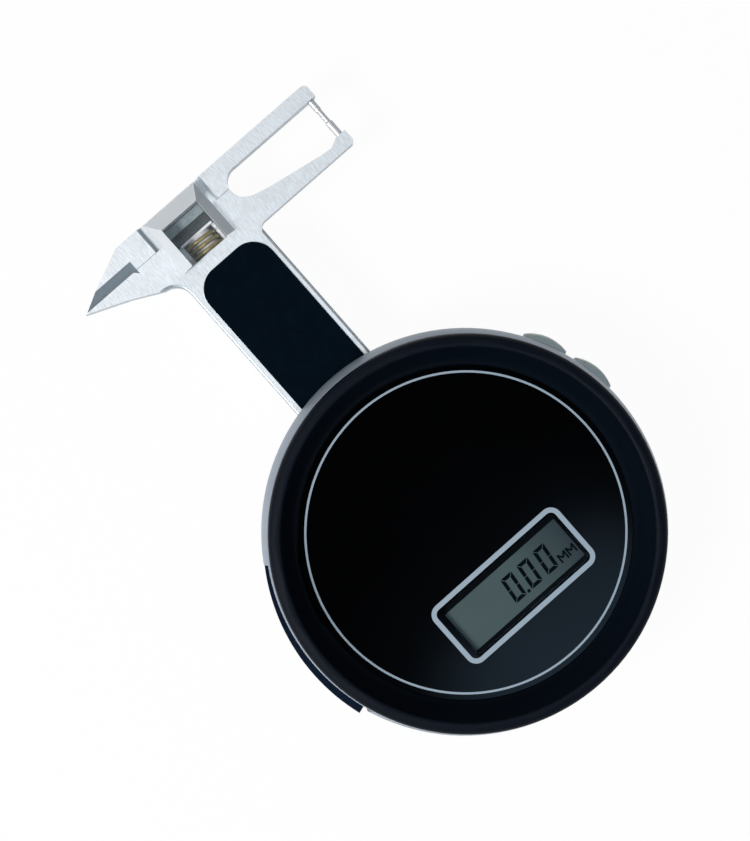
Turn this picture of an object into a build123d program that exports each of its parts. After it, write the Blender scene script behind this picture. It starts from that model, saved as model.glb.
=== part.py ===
# Hand-held digital gemstone caliper: a round case with a display, a flat stem that slides into
# the case, and a T-shaped head whose lower jaw opens against an upper jaw held on a rear rail.
# Millimetres. It lies on its back: +Z comes out of the face, +Y runs along the stem to the head,
# +X points to the button side, and the origin is the centre of the flat back.
from build123d import *
import os
from math import acos, asin, atan2, cos, degrees, hypot, pi, radians, sin, sqrt, tan

# Case
case_r = 32.0                 # widest outer radius of the case ring
case_wall = 2.4
foot_in = 2.7                 # how far the ring draws in from its widest to its foot
top_in = 0.95                 # and from its widest to its top
flank_bulge = 0.75            # depth of the flank's curve, inside the widest radius
shoulder_bulge = 0.25
lip_w = 1.35                  # lip at the back, around the back cover's spigot
ring_bottom_z = 2.6
floor_z = 1.85                # inside face of the back cover
back_edge_w = 1.9             # rounded border of the flat back
back_edge_r = 1.6
boss_r = 2.4
boss_inset = 3.8              # from the ring's inner wall to the middle of a boss
boss_to_guide = 1.6
low_boss_angles = (238, 302)

# Heights above and below the face
ring_over_face = 2.0
widest_under_top = 4.5
bezel_h = 2.8                 # bezel above the ring
bezel_edge_h = 1.3
break_over_face = 2.1
skirt_depth = 1.2

# Bezel and face
bezel_step = 0.15
bezel_rim_w = 0.8
bezel_land_w = 1.1
upper_slope_w = 1.8
lower_slope_w = 1.0
land_round = 0.3
panel_t = 1.1
panel_ledge = 1.1
gasket_t = 0.2
skirt_gap = 0.05
window_x = 0.43               # centre of the display window
window_to_rim = 11.2          # from the window's lower edge to the face's rim
window_w = 23.9
window_h = 10.0
window_corner_r = 1.2
pane_t = 0.6
pane_ledge = 0.45
pane_sink = 0.1

# Stem, beam, rail and label
stem_w = 15.3
beam_t = 3.6
beam_gap = 0.05               # running gap between rail and beam
beam_full_y = 7.0             # the beam keeps its full width down to here
rail_w = 13.0
rail_t = 4.2
rail_low_y = 6.0
label_w = 13.1
label_low_y = 8.0
label_corner_r = 4.0
label_t = 0.12
label_under_arm = 0.35
edge_chamfer = 0.45
side_gap = 0.07               # running gap between beam and guides

# Head outline, in the plane of the plate: heights are measured from the line where the jaws meet
split_y = 64.85
jaw_gap = 0.06
crown_h = 4.65
tip_x = -22.2
beak_len = 10.5               # from the tip to the head's top corner
brow_dx, brow_h = 4.05, 1.85
chin_dx, chin_drop = 6.96, 2.9
throat_dx, throat_drop = 2.72, 5.4
throat_end_drop = 8.25
arm_end_x = 27.65
arm_low_drop = 7.4
arm_notch = 0.55              # relief in the corner between stem and lower arm
upper_arm_in_h = 2.1
window_left_x = 7.8
arm_inner_start = ((0.95, 2.5), (3.3, 3.5), (9.25, 4.65))    # from the window's left end
arm_inner_end = ((5.35, 5.55), (3.5, 5.75), (2.5, 5.25))     # from the arm's end
pin_seat_drop = 4.95
pin_seat_w = 1.9
knife_len = 10.76             # ground flat along the upper beak, from the tip
knife_h = 1.65
knife_edge_up = 1.25          # knife edge above the plate's back
relief = 0.75
jaw_travel = 25.0

# Contact pins in the head's window
pin_inset = 0.99
upper_pin_r = 0.47
upper_collar_r = 0.58
upper_collar_len = 1.9
lower_pin_r = 0.64
pin_meet_drop = 2.1
pin_seat_depth = 1.4

# Clear cover over the spring
cover_left_w, cover_right_w = 5.4, 5.05      # either side of the spring
cover_slope_left_w, cover_slope_right_w = 1.69, 1.65
cover_slope_top_w = 2.7
cover_low_drop = 5.45
cover_under_crown = 0.2
cover_h = 2.4
cover_gap = 0.1
recess_left_w, recess_right_w = 1.24, 1.31   # beside the cover
recess_depth = 0.9
recess_slope = 0.55
cover_peg_r = 0.6
cover_peg_len = 1.2
cover_peg_inset = 1.0
cover_peg_under_crown = 1.25
opening_over = 0.03           # opening in the head, just wider than the cover's clear top

# Closing spring
spring_x = -0.8
spring_r = 2.5                # to the middle of the wire
spring_wire_r = 0.3
spring_pitch = 1.04
spring_turns = 16
spring_end_gap = 0.02
guide_core_r = 2.1
guide_flange_t = 0.35
guide_under_beam = 3.3        # the guide's cheeks lie low, so that the coil shows at full width
flange_under_beam = 1.7
channel_w = 6.4
channel_low_y = 10.0
beam_skin_t = 0.9
groove_floor_t = 1.0
groove_low_y = 8.5
anchor_half = 1.65            # the anchor's half length, about the line where the jaws meet
anchor_step = 0.95
hook_pin_r = 0.6

# Gears: sector on the lever, pinion and wheel on one arbor, rack on the beam
module = 0.3
pressure_angle = 25.0
backlash = 0.08
sector_teeth = 96
pinion_teeth = 12
wheel_to_ring = 2.1           # the wheel takes as many teeth as fit beside the ring
wheel_lift = 0.1              # wheel above the beam's back
wheel_t = 1.2
pinion_t = 2.4
arbor_collar_r = 1.2
wheel_seat_r = 1.3
axle_r = 0.70
running_gap = 0.05
rack_below_mesh = 1.6
rack_spare = 0.6

# Thumb lever
lever_pivot_inset = 1.7       # inside the ring's inner wall
lever_pivot_deg = 152.5
lever_from_deg, lever_to_deg = 148.3, 199.3
lever_h = 4.5
lever_wall = 1.9
lever_proud = 1.15            # how far the free end stands out of the case
lever_hub_r = 2.4
lever_pin_r = 1.0
lever_slot_gap = 0.25
lever_heel_inset = 1.5
lever_pin_foot = 1.15         # foot of the pivot pin above the base plate
sector_web_t = 1.3
sector_over_wheel = 0.9
sector_over_lever = 0.6
lever_recess_depth = 0.7

# Push buttons
button_angles = (25.25, 9.5)
button_w = 7.3
button_h = 4.4
button_under_board = 0.3
button_proud = 1.4            # how far the nose stands out of the case
button_dome_r = 7.2
button_travel = 0.5
button_soft_edge = 0.3
button_gap = 0.08
flange_inset = 0.45
flange_t = 0.7
flange_over_w = 0.12
flange_over_h = 0.55
nub_len = 1.1
nub_w = 1.6

# Electronics and battery
board_gap = 0.3               # board above the beam's keeper seat
board_t = 0.8
board_inset = 0.5
board_from_gear = 2.75
board_notch_gap = 1.2
board_button_gap = 1.15
board_button_clear = 3.85
board_under_gear = 14.5
board_over_pivot = 4.6
switch_len, switch_half_w, switch_h = 3.0, 1.7, 1.6
switch_back = 0.6
plunger_half_w, plunger_low, plunger_high = 0.6, 0.4, 1.2
plunger_gap = 0.12
lcd_w, lcd_h, lcd_t = 26.6, 13.2, 1.0
lcd_lift = 0.7
lcd_gap = 0.2
holder_wall = 1.0
zebra_w = 1.4
battery_r = 10.0
battery_t = 3.2
battery_shoulder_t = 2.6      # height of the cell's full width
battery_lift = 0.05
cover_r = 12.0
cover_to_edge = 1.9
cover_head_t = 0.65
cover_sink = 0.2
cover_neck_gap = 1.2
bayonet_gap = 1.95
bayonet_deg = 20
bayonet_count = 3
bayonet_turn = 30
coin_slot = (14.0, 1.7, 0.4)
holder_wall_t = 1.7
holder_flange_w = 1.5
holder_roof = 1.3
holder_gap_half_w = 2.2
holder_hole_r = 3.0
contact_half_w = 1.4
contact_inset = 2.0
contact_t = 0.2
dimple_r = 1.2
blade_half_w = 1.5
blade_t = 0.25
blade_foot = 3.0

# Screws and plates
plate_gap = 0.25              # base plate inside the ring's lip
plate_t = 1.0
plate_hole_gap = 2.6
guide_w = 3.08
guide_len = 5.2
guide_to_ring = 2.0
guide_cap_t = 1.0
guide_top_gap = 0.08
small_screw_r = 0.7
small_head_r = 1.3
small_head_t = 0.7
back_screw_r = 0.8
back_head_r = 1.6
back_head_t = 0.9
back_screw_len = 6.9
rail_screw_bite = 2.4
board_screw_bite = 2.2

# Heights that follow, from the back to the bezel
plate_top_z = floor_z + plate_t
rail_bottom_z = plate_top_z
rail_top_z = rail_bottom_z + rail_t
beam_bottom_z = rail_top_z + beam_gap
beam_top_z = beam_bottom_z + beam_t
cap_z = beam_top_z + label_t + guide_top_gap
board_z = cap_z + board_gap
board_top_z = board_z + board_t
lcd_z = board_top_z + lcd_lift
panel_low_z = lcd_z + lcd_t + lcd_gap
face_z = panel_low_z + panel_t
ring_top_z = face_z + ring_over_face
case_widest_z = ring_top_z - widest_under_top
bezel_edge_z = ring_top_z + bezel_edge_h
bezel_top_z = ring_top_z + bezel_h
bezel_break_z = face_z + break_over_face
skirt_bottom_z = face_z - skirt_depth
wheel_z = beam_bottom_z + wheel_lift
sector_low_z = wheel_z + wheel_t + sector_over_wheel
lever_low_z = sector_low_z - sector_over_lever
lever_top_z = lever_low_z + lever_h
lever_pin_low_z = plate_top_z + lever_pin_foot
button_z = board_z - button_under_board
knife_edge_z = rail_top_z + knife_edge_up
pin_z = (beam_bottom_z + beam_top_z) / 2
spring_z = (rail_bottom_z + groove_floor_t + beam_top_z - beam_skin_t) / 2
guide_top_z = beam_top_z - guide_under_beam
guide_flange_z = beam_top_z - flange_under_beam
cover_bottom_z = beam_top_z + cover_gap
cover_top_z = beam_top_z + cover_h
recess_z = beam_top_z - recess_depth
battery_z = floor_z + battery_lift
holder_top_z = battery_z + battery_t + holder_roof
back_seat_z = back_head_t + 0.2
back_screw_tip_z = back_seat_z + back_screw_len

# Radii that follow, from the widest line inwards
case_inner_r = case_r - case_wall
ring_foot_r = case_r - foot_in
ring_top_r = case_r - top_in
ring_lip_r = ring_foot_r - lip_w
back_r = ring_foot_r - back_edge_w
plate_r = ring_lip_r - plate_gap
bezel_r = ring_top_r - bezel_step
bezel_land_out_r = bezel_r - bezel_rim_w
bezel_land_in_r = bezel_land_out_r - bezel_land_w
bezel_break_r = bezel_land_in_r - upper_slope_w
bezel_mouth_r = bezel_break_r - lower_slope_w
panel_r = bezel_mouth_r + panel_ledge
window_y = window_h / 2 + window_to_rim - panel_r
boss_pitch_r = case_inner_r - boss_inset
board_r = case_inner_r - board_inset
button_nose_r = case_r + button_proud
flange_r = case_inner_r - flange_inset
nub_r = flange_r - flange_t - nub_len
board_button_x = nub_r - board_button_gap
lever_pivot_r = case_inner_r - lever_pivot_inset
lever_heel_r = case_inner_r - lever_heel_inset
lever_recess_r = case_r - lever_recess_depth
past_case = 1.25 * case_r     # a cutter's reach, clear of the whole case
cover_neck_r = battery_r + cover_neck_gap
bayonet_r = battery_r + bayonet_gap
holder_r = battery_r + holder_wall_t
holder_flange_r = holder_r + holder_flange_w
plate_hole_r = battery_r + plate_hole_gap
battery_y = -(back_r - cover_r - cover_to_edge)

# The head's outline, pins and cover
crown_y = split_y + crown_h
crown_left_x = tip_x + beak_len
brow_x, brow_y = tip_x + brow_dx, split_y + brow_h
chin_x, chin_y = tip_x + chin_dx, split_y - chin_drop
throat_x, throat_y = -stem_w / 2 - throat_dx, split_y - throat_drop
throat_end_y = split_y - throat_end_drop
arm_low_y = split_y - arm_low_drop
upper_arm_in_y = split_y + upper_arm_in_h
pin_seat_x, pin_seat_y = arm_end_x - pin_seat_w, split_y - pin_seat_drop
arm_inner = [(window_left_x + along, split_y - drop) for along, drop in arm_inner_start]
arm_inner += [(arm_end_x - along, split_y - drop) for along, drop in arm_inner_end[:-1]]
arm_inner_corner = (arm_end_x - arm_inner_end[-1][0], split_y - arm_inner_end[-1][1])
knife_x, knife_y = tip_x + knife_len, split_y + knife_h
pin_x = arm_end_x - pin_inset
pin_meet_y = split_y - pin_meet_drop
label_top_y = arm_low_y - label_under_arm
cover_left_x, cover_right_x = spring_x - cover_left_w, spring_x + cover_right_w
cover_top_left_x = cover_left_x + cover_slope_left_w
cover_top_right_x = cover_right_x - cover_slope_right_w
cover_low_y, cover_high_y = split_y - cover_low_drop, crown_y - cover_under_crown
cover_top_high_y = cover_high_y - cover_slope_top_w
cover_peg_y = crown_y - cover_peg_under_crown
recess_left_x, recess_right_x = cover_left_x - recess_left_w, cover_right_x + recess_right_w
head_opening_left_x = cover_top_left_x - opening_over
head_opening_right_x = cover_top_right_x + opening_over
anchor_low_y, anchor_high_y = split_y - anchor_half, split_y + anchor_half
channel_left_x = spring_x - channel_w / 2
channel_right_x = spring_x + channel_w / 2
spring_high_y = anchor_low_y - guide_flange_t
spring_low_y = spring_high_y - spring_pitch * spring_turns

# Guides, screws and gear train
guide_in_x = stem_w / 2 + side_gap
guide_out_x = guide_in_x + guide_w
guide_high_y = sqrt((case_inner_r - guide_to_ring) ** 2 - guide_out_x ** 2)
guide_low_y = guide_high_y - guide_len
board_notch_y = guide_low_y - board_notch_gap
board_notch_half = guide_out_x + board_notch_gap
high_boss_deg = degrees(acos((guide_out_x + boss_to_guide + boss_r) / boss_pitch_r))
boss_angles = (high_boss_deg, 180 - high_boss_deg) + low_boss_angles
pinion_r = module * pinion_teeth / 2
wheel_room = case_inner_r - wheel_to_ring - (stem_w / 2 - module)
wheel_teeth = int(wheel_room / module) - 1
wheel_r = module * wheel_teeth / 2
sector_r = module * sector_teeth / 2
rack_x = -stem_w / 2 + module
lever_px = lever_pivot_r * cos(radians(lever_pivot_deg))
lever_py = lever_pivot_r * sin(radians(lever_pivot_deg))
gear_x = rack_x - wheel_r
gear_y = lever_py - sqrt((sector_r + pinion_r) ** 2 - (gear_x - lever_px) ** 2)
board_left_x = gear_x + board_from_gear
mesh_deg = degrees(atan2(gear_y - lever_py, gear_x - lever_px))
travel_per_rad = sector_r / pinion_r * wheel_r
lever_swing_deg = degrees(jaw_travel / travel_per_rad)
lever_end_x = case_r * cos(radians(lever_to_deg))
lever_end_y = case_r * sin(radians(lever_to_deg))
lever_reach = hypot(lever_end_x - lever_px, lever_end_y - lever_py)
lever_length = hypot(lever_end_x - case_r * cos(radians(lever_pivot_deg)),
                     lever_end_y - case_r * sin(radians(lever_pivot_deg)))
beam_low_y = gear_y - rack_below_mesh
rack_high_y = gear_y + jaw_travel + sqrt(4 * wheel_r * module) + rack_spare


def block(x0, x1, y0, y1, z0, z1):
    """A rectangular solid from its low and high corners."""
    return Pos((x0 + x1) / 2, (y0 + y1) / 2, (z0 + z1) / 2) * Box(x1 - x0, y1 - y0, z1 - z0)


def rod(x, y, z0, z1, r):
    """An upright cylinder."""
    return Pos(x, y, (z0 + z1) / 2) * Cylinder(r, z1 - z0)


def tube(x, y, z0, z1, r_out, r_in):
    """An upright ring."""
    return rod(x, y, z0, z1, r_out) - rod(x, y, z0 - 1, z1 + 1, r_in)


def plate(points, z0, z1):
    """A flat plate with a straight-sided outline."""
    face = make_face(Polyline(*[(x, y, z0) for x, y in points], close=True))
    return extrude(face, z1 - z0, dir=(0, 0, 1))


def polar(r, deg):
    return r * cos(radians(deg)), r * sin(radians(deg))


def pie(r, from_deg, to_deg, z0, z1, steps=8):
    """A slice of a disc about the origin, reaching past radius r."""
    reach = r / cos(radians((to_deg - from_deg) / steps / 2))
    angles = [from_deg + (to_deg - from_deg) * i / steps for i in range(steps + 1)]
    return plate([(0, 0)] + [polar(reach, a) for a in angles], z0, z1)


def involute(angle):
    return tan(angle) - angle


def tooth_half_angle(teeth, radius):
    """Half the angle that a tooth of an involute gear fills at the given radius."""
    pitch_r = module * teeth / 2
    base_r = pitch_r * cos(radians(pressure_angle))
    at_pitch = pi / (2 * teeth) - backlash / 4 / pitch_r
    here = acos(base_r / max(radius, base_r))
    return at_pitch + involute(radians(pressure_angle)) - involute(here)


def tooth_points(teeth, centre_deg):
    """One tooth's outline from root to root, as points about the gear's centre."""
    pitch_r = module * teeth / 2
    root_r = pitch_r - 1.25 * module
    tip_r = pitch_r + module
    base_r = pitch_r * cos(radians(pressure_angle))
    low_r = max(root_r, base_r)
    radii = [root_r] + [low_r + (tip_r - low_r) * i / 2 for i in range(3)]
    if root_r >= base_r:
        radii = radii[1:]
    half = [degrees(tooth_half_angle(teeth, r)) for r in radii]
    rising = [polar(r, centre_deg - h) for r, h in zip(radii, half)]
    falling = [polar(r, centre_deg + h) for r, h in reversed(list(zip(radii, half)))]
    return rising + falling


def gear(teeth, centre_deg, z0, z1):
    """A spur gear about the origin with a tooth centred on the given direction."""
    points = []
    for i in range(teeth):
        points += tooth_points(teeth, centre_deg + 360 * i / teeth)
    return plate(points, z0, z1)


def screw(x, y, seat_z, tip_z, r, head_r, head_t, down=True, slotted=True):
    """A plain screw with a pan head; down means that its tip points to -Z."""
    head_z = (seat_z, seat_z + head_t) if down else (seat_z - head_t, seat_z)
    body = rod(x, y, min(seat_z, tip_z), max(seat_z, tip_z), r) + rod(x, y, *head_z, head_r)
    if not slotted:
        return body
    slot_z = head_z[1] if down else head_z[0]
    return body - Pos(x, y, slot_z) * Rot(0, 0, 35) * Box(3 * head_r, head_r / 4, head_t)


def drill(solid, x, y, z0, z1, r):
    return solid - rod(x, y, z0, z1, r)


def case_ring():
    """Cast ring of the case: flared wall, screw bosses and the openings in its wall."""
    with BuildPart() as ring:
        with BuildSketch(Plane.XZ):
            with BuildLine():
                Line((ring_lip_r, ring_bottom_z), (ring_foot_r, ring_bottom_z))
                ThreePointArc((ring_foot_r, ring_bottom_z),
                              (case_r - flank_bulge, (2 * ring_bottom_z + case_widest_z) / 3 + 0.7),
                              (case_r, case_widest_z))
                ThreePointArc((case_r, case_widest_z),
                              (case_r - shoulder_bulge, (case_widest_z + ring_top_z) / 2 + 0.35),
                              (ring_top_r, ring_top_z))
                Polyline((ring_top_r, ring_top_z), (case_inner_r, ring_top_z),
                         (case_inner_r, ring_bottom_z + 2.9), (ring_lip_r, ring_bottom_z + 1.1),
                         (ring_lip_r, ring_bottom_z))
            make_face()
        revolve(axis=Axis.Z)
    body = ring.part
    wall_reach = rod(0, 0, plate_top_z, board_z, case_inner_r + 0.6)
    for deg in boss_angles:
        x, y = polar(boss_pitch_r, deg)
        web = Rot(0, 0, deg) * block(boss_pitch_r, case_inner_r + 1, -1.4, 1.4, plate_top_z + 1, board_z)
        body += rod(x, y, plate_top_z, board_z, boss_r) + web & wall_reach
        body -= rod(x, y, plate_top_z - 1, board_z + 1, small_screw_r + 0.1)
    pivot_boss = rod(lever_px, lever_py, plate_top_z + 0.6, lever_low_z - 0.1, lever_hub_r)
    body += pivot_boss & rod(0, 0, 0, board_z, case_inner_r + 0.6)
    body -= rod(lever_px, lever_py, lever_pin_low_z, board_z, lever_pin_r)
    half = stem_w / 2 + 0.2
    body -= block(-half, half, case_inner_r / 2, past_case, ring_bottom_z - 1, cap_z + 0.1)
    slot_low, slot_high = lever_low_z - 0.2, lever_top_z + 0.3
    opening = pie(past_case, lever_from_deg - 0.7, lever_to_deg + 8, slot_low, ring_top_z + 1)
    opening &= rod(lever_px, lever_py, slot_low, ring_top_z + 1, lever_reach + lever_slot_gap)
    opening -= rod(0, 0, slot_low, slot_high, boss_pitch_r)
    body -= opening - rod(0, 0, slot_high, ring_top_z + 1, lever_recess_r)
    for deg in button_angles:
        w, h = button_w + 2 * button_gap, button_h + 2 * button_gap
        hole = extrude(Plane.YZ * Pos(0, button_z) * RectangleRounded(w, h, h / 2 - 0.3), 2.5 * case_wall)
        body -= Rot(0, 0, deg) * Pos(case_inner_r - 1.1, 0, 0) * hole
    return body


def bezel():
    """Moulded front bezel: rounded land, two-step slope to the face, and a spigot in the ring."""
    spigot_r = case_inner_r - skirt_gap
    with BuildPart() as part:
        with BuildSketch(Plane.XZ):
            with BuildLine():
                Polyline((ring_top_r - 0.1, ring_top_z), (bezel_r, bezel_edge_z))
                ThreePointArc((bezel_r, bezel_edge_z), (bezel_r - 0.24, bezel_top_z - 0.45),
                              (bezel_land_out_r, bezel_top_z))
                Line((bezel_land_out_r, bezel_top_z), (bezel_land_in_r + land_round, bezel_top_z))
                ThreePointArc((bezel_land_in_r + land_round, bezel_top_z),
                              (bezel_land_in_r, bezel_top_z - 0.13),
                              (bezel_land_in_r - 0.2, bezel_top_z - 0.42))
                Polyline((bezel_land_in_r - 0.2, bezel_top_z - 0.42), (bezel_break_r, bezel_break_z),
                         (bezel_mouth_r, face_z + gasket_t), (panel_r + 0.1, face_z + gasket_t),
                         (panel_r + 0.1, skirt_bottom_z), (spigot_r, skirt_bottom_z),
                         (spigot_r, ring_top_z), (ring_top_r - 0.1, ring_top_z))
            make_face()
        revolve(axis=Axis.Z)
    return part.part


def window_hole(grow, z0, z1):
    sketch = RectangleRounded(window_w + 2 * grow, window_h + 2 * grow, window_corner_r + grow)
    return extrude(Pos(window_x, window_y, z0) * sketch, z1 - z0)


def face_panel():
    """Glossy face disc with the stepped opening for the display window."""
    disc = rod(0, 0, panel_low_z, face_z, panel_r)
    disc -= window_hole(0, face_z - pane_sink - pane_t, face_z + 1)
    return disc - window_hole(-pane_ledge, panel_low_z - 1, face_z)


def display_window():
    top = face_z - pane_sink
    return window_hole(-0.05, top - pane_t, top)


def face_gasket():
    return tube(0, 0, face_z, face_z + gasket_t, panel_r, bezel_mouth_r + 0.1)


def lcd_module():
    """Display glass with the narrower front glass stepped back along its contact edge."""
    x, y = window_x, window_y
    back = block(x - lcd_w / 2, x + lcd_w / 2, y - lcd_h / 2, y + lcd_h / 2, lcd_z, lcd_z + lcd_t / 2)
    front_top = y + lcd_h / 2 - zebra_w
    front = block(x - lcd_w / 2, x + lcd_w / 2, y - lcd_h / 2, front_top, lcd_z + lcd_t / 2, lcd_z + lcd_t)
    return back + front


def lcd_holder():
    """Moulded frame that locates the display on the circuit board."""
    x, y = window_x, window_y
    w, h = lcd_w / 2 + 0.05, lcd_h / 2 + 0.05
    outer = block(x - w - holder_wall, x + w + holder_wall, y - h - holder_wall, y + h + holder_wall,
                  board_top_z, lcd_z + lcd_t)
    inner = block(x - w, x + w, y - h, y + h, board_top_z - 1, lcd_z + lcd_t + 1)
    return outer - inner


def zebra_strips():
    """Two rubber contact strips squeezed between board and display."""
    x, y = window_x, window_y
    strips = []
    for side in (-1, 1):
        mid = y + side * (lcd_h / 2 - zebra_w / 2)
        strips.append(block(x - lcd_w / 2 + 1, x + lcd_w / 2 - 1, mid - zebra_w / 2 + 0.05,
                            mid + zebra_w / 2 - 0.05, board_top_z, lcd_z))
    return Compound(children=strips)


def circuit_board():
    """Board cut away for the lever, the beam keeper and the buttons."""
    board = rod(0, 0, board_z, board_top_z, board_r)
    board -= block(-past_case, board_left_x, gear_y - board_under_gear, lever_py + board_over_pivot,
                   board_z - 1, board_top_z + 1)
    board -= block(-board_notch_half, board_notch_half, board_notch_y, past_case,
                   board_z - 1, board_top_z + 1)
    button_half = button_w / 2 + board_button_clear
    button_cut = block(board_button_x, past_case, -button_half, button_half, board_z - 1, board_top_z + 1)
    for deg in button_angles:
        board -= Rot(0, 0, deg) * button_cut
    for deg in boss_angles:
        x, y = polar(boss_pitch_r, deg)
        board = drill(board, x, y, board_z - 1, board_top_z + 1, small_screw_r + 0.15)
    return board


def tact_switches():
    """Two side-push switches on the board's edge."""
    switches = []
    for deg in button_angles:
        front_x = board_button_x - switch_back
        body = block(front_x - switch_len, front_x, -switch_half_w, switch_half_w,
                     board_top_z, board_top_z + switch_h)
        plunger = block(front_x, nub_r - button_travel - plunger_gap, -plunger_half_w, plunger_half_w,
                        board_top_z + plunger_low, board_top_z + plunger_high)
        switches.append(Rot(0, 0, deg) * (body + plunger))
    return Compound(children=switches)


def board_screws():
    seats = [polar(boss_pitch_r, deg) for deg in boss_angles]
    made = [screw(x, y, board_top_z, board_z - board_screw_bite, small_screw_r + 0.1, small_head_r,
                  small_head_t, slotted=False) for x, y in seats]
    return Compound(children=made)


def push_button(deg):
    """Domed button with a retaining flange behind the wall and a nub for the switch."""
    pill = RectangleRounded(button_w, button_h, button_h / 2 - 0.35)
    cap = extrude(Plane.YZ * Pos(0, button_z) * pill, button_nose_r - flange_r)
    cap = Pos(flange_r, 0, 0) * cap & Pos(button_nose_r - button_dome_r, 0, button_z) * Sphere(button_dome_r)
    cap = fillet(cap.edges().filter_by(lambda e: e.bounding_box().min.X > flange_r + 1), button_soft_edge)
    flange = Plane.YZ * Pos(0, button_z) * RectangleRounded(
        button_w + 2 * flange_over_w, button_h + 2 * flange_over_h, button_h / 2)
    body = cap + Pos(flange_r - flange_t, 0, 0) * extrude(flange, flange_t)
    nub_top_z = button_z + button_h / 2 + 0.1
    body += block(nub_r, flange_r - flange_t, -nub_w / 2, nub_w / 2, board_top_z + 0.25, nub_top_z)
    return Rot(0, 0, deg) * body


def bayonet(grow_r, grow_deg, turn, z0, z1):
    """The battery cover's ears, or the notches that let them pass."""
    ears = []
    for i in range(bayonet_count):
        mid = 90 + turn + i * 360 / bayonet_count
        wide = bayonet_deg / 2 + grow_deg
        ear = pie(2 * bayonet_r, mid - wide, mid + wide, z0, z1, steps=3)
        ear &= rod(0, 0, z0, z1, bayonet_r + grow_r)
        ears.append(ear - rod(0, 0, z0 - 1, z1 + 1, cover_neck_r - 0.4))
    return Pos(0, battery_y, 0) * (ears[0] + ears[1] + ears[2])


def back_cover():
    """Moulded back with rounded edge, spigot for the ring and the battery opening."""
    with BuildPart() as part:
        with BuildSketch(Plane.XZ):
            with BuildLine():
                Line((0, 0), (back_r, 0))
                ThreePointArc((back_r, 0), (back_r + 0.66 * back_edge_w, 0.4 * back_edge_r),
                              (ring_foot_r - 0.1, back_edge_r))
                Polyline((ring_foot_r - 0.1, back_edge_r), (ring_foot_r - 0.1, ring_bottom_z),
                         (plate_r + 0.1, ring_bottom_z), (plate_r + 0.1, floor_z), (0, floor_z), (0, 0))
            make_face()
        revolve(axis=Axis.Z)
    body = part.part
    head_z = cover_sink + cover_head_t
    body -= rod(0, battery_y, -1, head_z + 0.05, cover_r + 0.1)
    body -= rod(0, battery_y, -1, floor_z + 1, cover_neck_r + 0.1)
    body -= bayonet(0.15, 3, bayonet_turn, -1, floor_z + 1)
    for deg in boss_angles:
        x, y = polar(boss_pitch_r, deg)
        body = drill(body, x, y, -1, floor_z + 1, back_screw_r + 0.1)
        body = drill(body, x, y, -1, back_seat_z, back_head_r + 0.15)
    return body


def back_screws():
    made = []
    for deg in boss_angles:
        x, y = polar(boss_pitch_r, deg)
        made.append(screw(x, y, back_seat_z, back_screw_tip_z, back_screw_r, back_head_r,
                          back_head_t, down=False))
    return Compound(children=made)


def base_plate():
    """Stamped plate that carries rail, guides and gear axle."""
    body = rod(0, 0, floor_z, plate_top_z, plate_r)
    body -= rod(0, battery_y, floor_z - 1, plate_top_z + 1, plate_hole_r)
    for deg in boss_angles:
        x, y = polar(boss_pitch_r, deg)
        body = drill(body, x, y, floor_z - 1, plate_top_z + 1, back_screw_r + 0.1)
    for x, y in guide_screw_places():
        body = drill(body, x, y, floor_z - 1, plate_top_z + 1, small_screw_r)
    for x, y in rail_screw_places():
        body = drill(body, x, y, floor_z - 1, plate_top_z + 1, small_screw_r)
        body = drill(body, x, y, floor_z - 1, floor_z + 0.5, small_head_r + 0.1)
    return drill(body, gear_x, gear_y, floor_z - 1, plate_top_z + 1, axle_r)


def rail_screw_places():
    left = (channel_left_x - rail_w / 2) / 2
    right = (channel_right_x + rail_w / 2) / 2
    return [(x, y) for x in (left, right) for y in (rail_low_y + 5.0, guide_high_y - 0.4)]


def guide_screw_places():
    x = (guide_in_x + guide_out_x) / 2
    return [(side * x, y) for side in (-1, 1) for y in (guide_low_y + 1.2, guide_high_y - 1.2)]


def jaw_screw_places():
    left = (channel_left_x - rail_w / 2) / 2
    right = (channel_right_x + rail_w / 2) / 2
    return [(left, anchor_high_y - 0.1), (right, anchor_high_y - 0.1)]


def rear_rail():
    """Grooved steel rail from inside the case to the upper jaw, behind the stem."""
    half = rail_w / 2
    sketch = Pos(0, (rail_low_y + crown_y) / 2, rail_bottom_z) * Rectangle(rail_w, crown_y - rail_low_y)
    sketch = fillet(sketch.vertices().group_by(Axis.Y)[-1], 1.6)
    body = extrude(sketch, rail_t)
    body = chamfer(body.faces().sort_by(Axis.Z)[0].edges(), 0.3)
    groove_z = rail_bottom_z + groove_floor_t
    body -= block(channel_left_x, channel_right_x, groove_low_y, anchor_high_y, groove_z, rail_top_z + 1)
    for x, y in rail_screw_places():
        body = drill(body, x, y, rail_bottom_z - 1, rail_bottom_z + rail_screw_bite + 0.2, small_screw_r)
    for x, y in jaw_screw_places():
        body = drill(body, x, y, rail_bottom_z - 1, rail_top_z + 1, small_screw_r)
        body = drill(body, x, y, rail_bottom_z - 1, rail_bottom_z + small_head_t, small_head_r + 0.1)
    y = (anchor_low_y + anchor_high_y) / 2
    return drill(body, spring_x, y, rail_bottom_z - 1, groove_z + 1, small_screw_r)


def rail_screws():
    made = [screw(x, y, floor_z + 0.5, rail_bottom_z + rail_screw_bite, small_screw_r, small_head_r,
                  0.45, down=False, slotted=False) for x, y in rail_screw_places()]
    return Compound(children=made)


def jaw_screws():
    made = [screw(x, y, rail_bottom_z + small_head_t, recess_z - 0.6, small_screw_r, small_head_r,
                  small_head_t - 0.1, down=False) for x, y in jaw_screw_places()]
    return Compound(children=made)


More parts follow.
